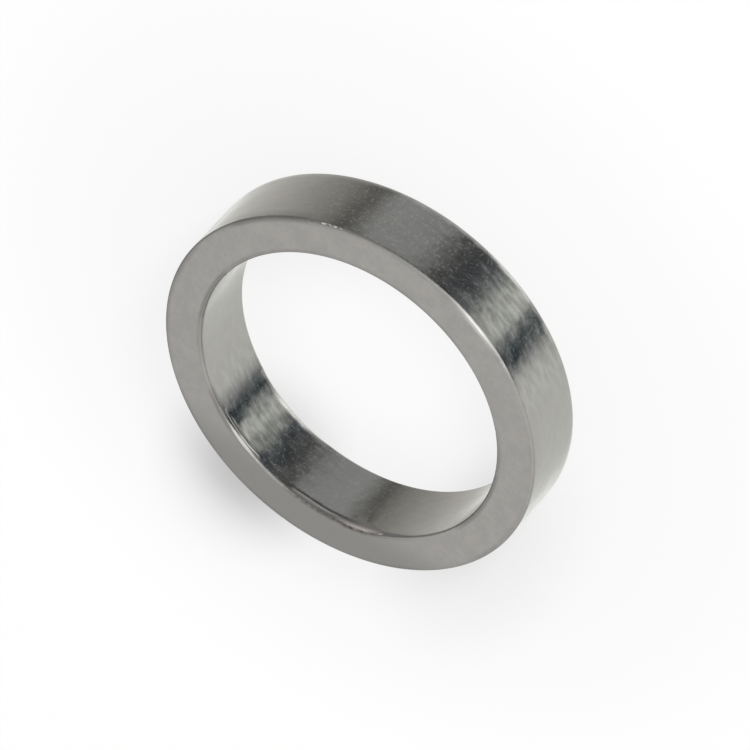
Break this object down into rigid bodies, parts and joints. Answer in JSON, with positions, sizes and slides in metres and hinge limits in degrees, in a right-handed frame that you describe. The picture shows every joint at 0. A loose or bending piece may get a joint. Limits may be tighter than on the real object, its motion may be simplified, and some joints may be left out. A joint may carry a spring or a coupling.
{
  "type": "graphite sealing ring",
  "caption": "Plain one-piece die-formed graphite ring of rectangular section that seals or guides a round stem, with small rounds on its edges and matt end faces.",
  "frame": {"origin": "centre of the lower end face, on the ring's axis", "axes": "+Z along the ring's axis, up through the bore; +Y lies 15 degrees from the middle of the crescent bevel on the bore's upper edge"},
  "size_m": [0.05, 0.05, 0.0095],
  "materials": {
    "graphite": "satin"
  },
  "bodies": {
    "root": {"graphite_ring": "graphite"}
  },
  "joints": []
}
